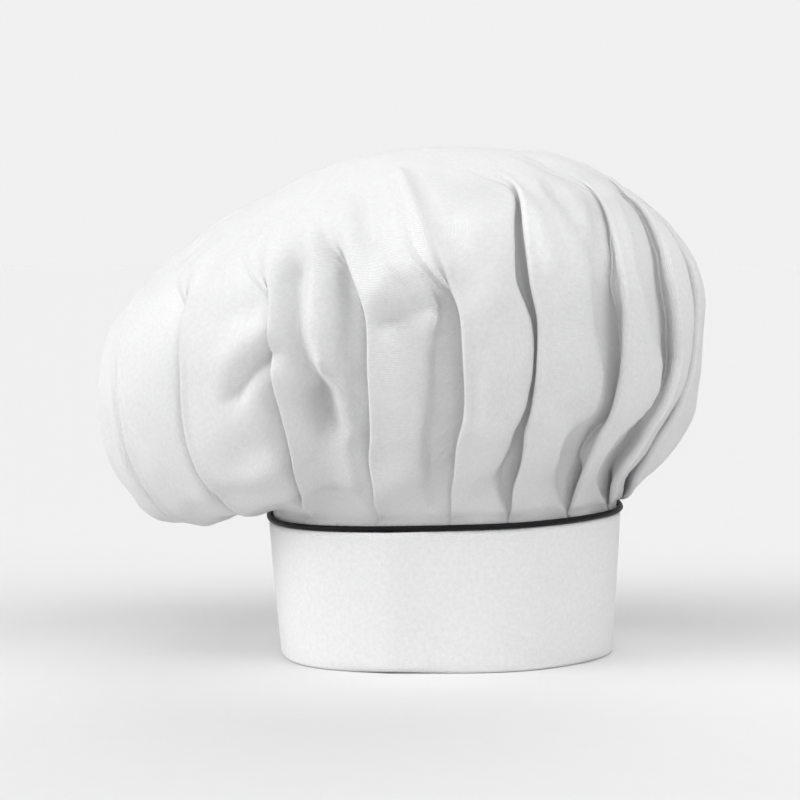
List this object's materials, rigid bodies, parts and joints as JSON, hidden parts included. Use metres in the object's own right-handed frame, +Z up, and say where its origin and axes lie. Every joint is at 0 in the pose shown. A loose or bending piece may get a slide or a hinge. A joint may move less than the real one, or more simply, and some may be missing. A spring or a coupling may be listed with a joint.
{
  "type": "chef toque",
  "caption": "Soft white chef's toque: knife-pleated puffy crown drooping to one side, black piped seam, tall flared stiffened headband and a hook-and-loop rear closure flap.",
  "frame": {"origin": "on the surface the hat rests on, at the centre of the whole hat's plan", "axes": "+Z up from the resting fold to the crown's top; -Y is the hat's front and +Y the closure at the back; the crown droops towards -X, and +X is the wearer's left"},
  "size_m": [0.3425, 0.2991, 0.2853],
  "materials": {
    "white_cotton": "matte",
    "black_satin": "satin",
    "filler_cord": "matte",
    "interlining": "matte",
    "seam_tape": "matte",
    "white_thread": "satin",
    "hook_tape": "matte",
    "loop_tape": "matte",
    "label_satin": "satin"
  },
  "bodies": {
    "hat_body": {"crown": "white_cotton", "headband": "white_cotton", "band_interlining": "interlining", "piping_cover": "black_satin", "piping_cord": "filler_cord", "crown_seam_binding": "seam_tape", "crown_seam_stitching": "white_thread", "vent_hem": "white_cotton", "vent_bartack_left": "white_thread", "vent_bartack_right": "white_thread", "loop_strip": "loop_tape", "loop_strip_stitching": "white_thread"},
    "flap": {"closure_flap": "white_cotton", "flap_piping_cover": "black_satin", "flap_piping_cord": "filler_cord", "flap_edge_stitching": "white_thread", "hook_strip": "hook_tape", "hook_strip_stitching": "white_thread"},
    "label": {"care_label": "label_satin", "care_label_stitching": "white_thread"}
  },
  "joints": [
    {"name": "flap_peel", "type": "hinge", "parent": "hat_body", "child": "flap", "pos_m": [0.08059, 0.0943, 0.039], "axis": [0, 0, -1], "range_deg": [0, 135]},
    {"name": "label_swing", "type": "hinge", "parent": "hat_body", "child": "label", "pos_m": [-0.04636, 0.06139, 0.06574], "axis": [-0.6428, -0.766, 0], "range_deg": [0, 95]}
  ]
}
